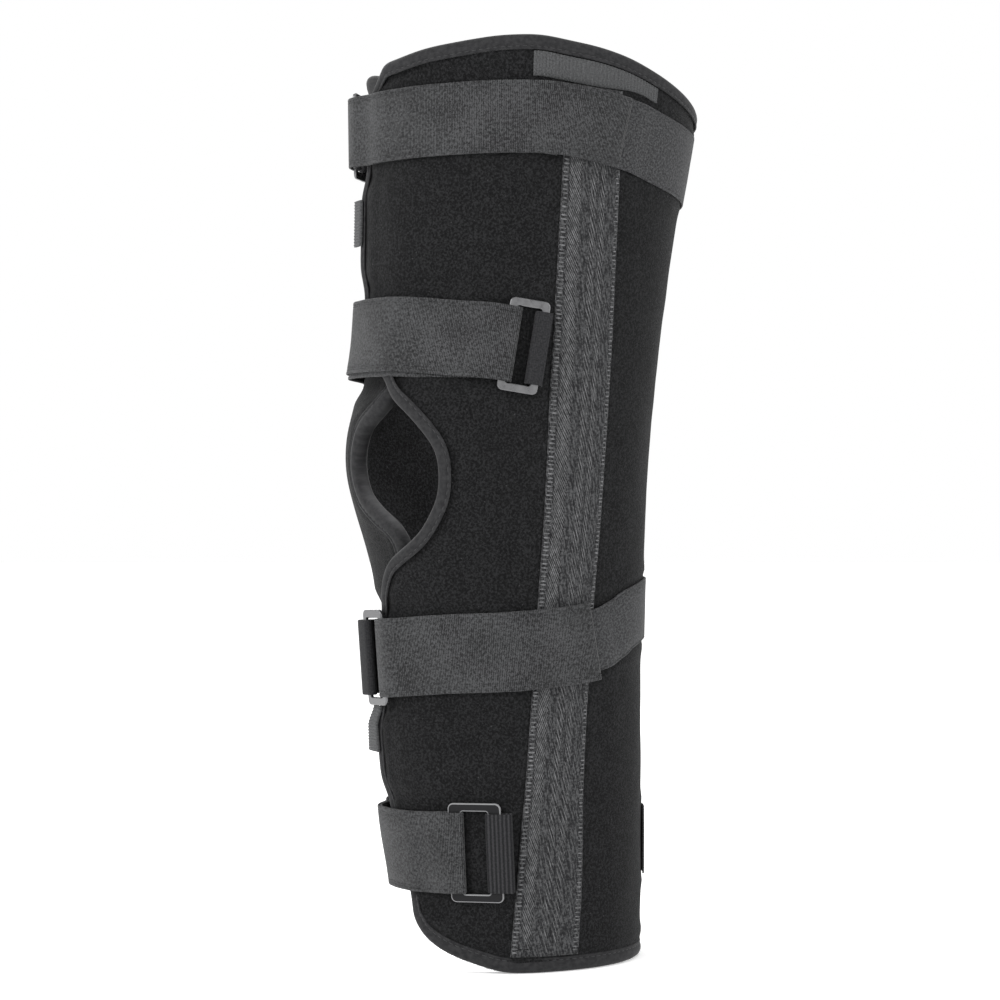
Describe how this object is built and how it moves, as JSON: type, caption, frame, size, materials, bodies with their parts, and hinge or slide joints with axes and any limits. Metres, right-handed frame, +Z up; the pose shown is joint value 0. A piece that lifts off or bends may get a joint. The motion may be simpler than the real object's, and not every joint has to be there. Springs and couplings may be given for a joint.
{
  "type": "knee immobilizer",
  "caption": "Wrap-around foam leg splint with an open kneecap, bound edges, a side stay under a tape on each side and webbing straps turned back through rectangular rings.",
  "frame": {"origin": "on the floor under the middle of the standing wrap's bounding box", "axes": "+Z up the leg from ankle to thigh, the front of the leg and the kneecap opening face -Y, the side with the two rings and the tape seen in the picture faces +X"},
  "size_m": [0.178, 0.1994, 0.4998],
  "materials": {
    "foam_laminate": "brushed loop cloth on foam, matt",
    "edge_binding": "smooth folded edge tape, matt",
    "stay_tape": "herringbone tape, matt",
    "stay_cover": "brushed tape, matt",
    "elastic_webbing": "woven elastic webbing, matt",
    "hook_tape": "hook tape, matt",
    "webbing_tab": "ribbed webbing, matt",
    "ring_nickel": "bright nickel plate",
    "ring_black": "black coated metal"
  },
  "bodies": {
    "root": {"foam_panel": "foam_laminate", "bottom_binding": "edge_binding", "edge_binding": "edge_binding", "near_stay_tape": "stay_tape", "far_stay_tape": "stay_tape", "near_stay_cover": "stay_cover", "far_stay_cover": "stay_cover", "near_rim_tape": "stay_tape", "upper_pull_tab": "webbing_tab", "lower_pull_tab": "webbing_tab", "upper_thigh_strap": "elastic_webbing", "upper_thigh_hook_end": "hook_tape", "upper_thigh_tab": "webbing_tab", "upper_thigh_ring": "ring_nickel", "lower_thigh_strap": "elastic_webbing", "lower_thigh_hook_end": "hook_tape", "lower_thigh_tab": "webbing_tab", "lower_thigh_ring": "ring_nickel", "upper_calf_strap": "elastic_webbing", "upper_calf_hook_end": "hook_tape", "upper_calf_tab": "webbing_tab", "upper_calf_ring": "ring_nickel", "ankle_strap": "elastic_webbing", "ankle_hook_end": "hook_tape", "ankle_tab": "webbing_tab", "ankle_ring": "ring_black"}
  },
  "joints": []
}
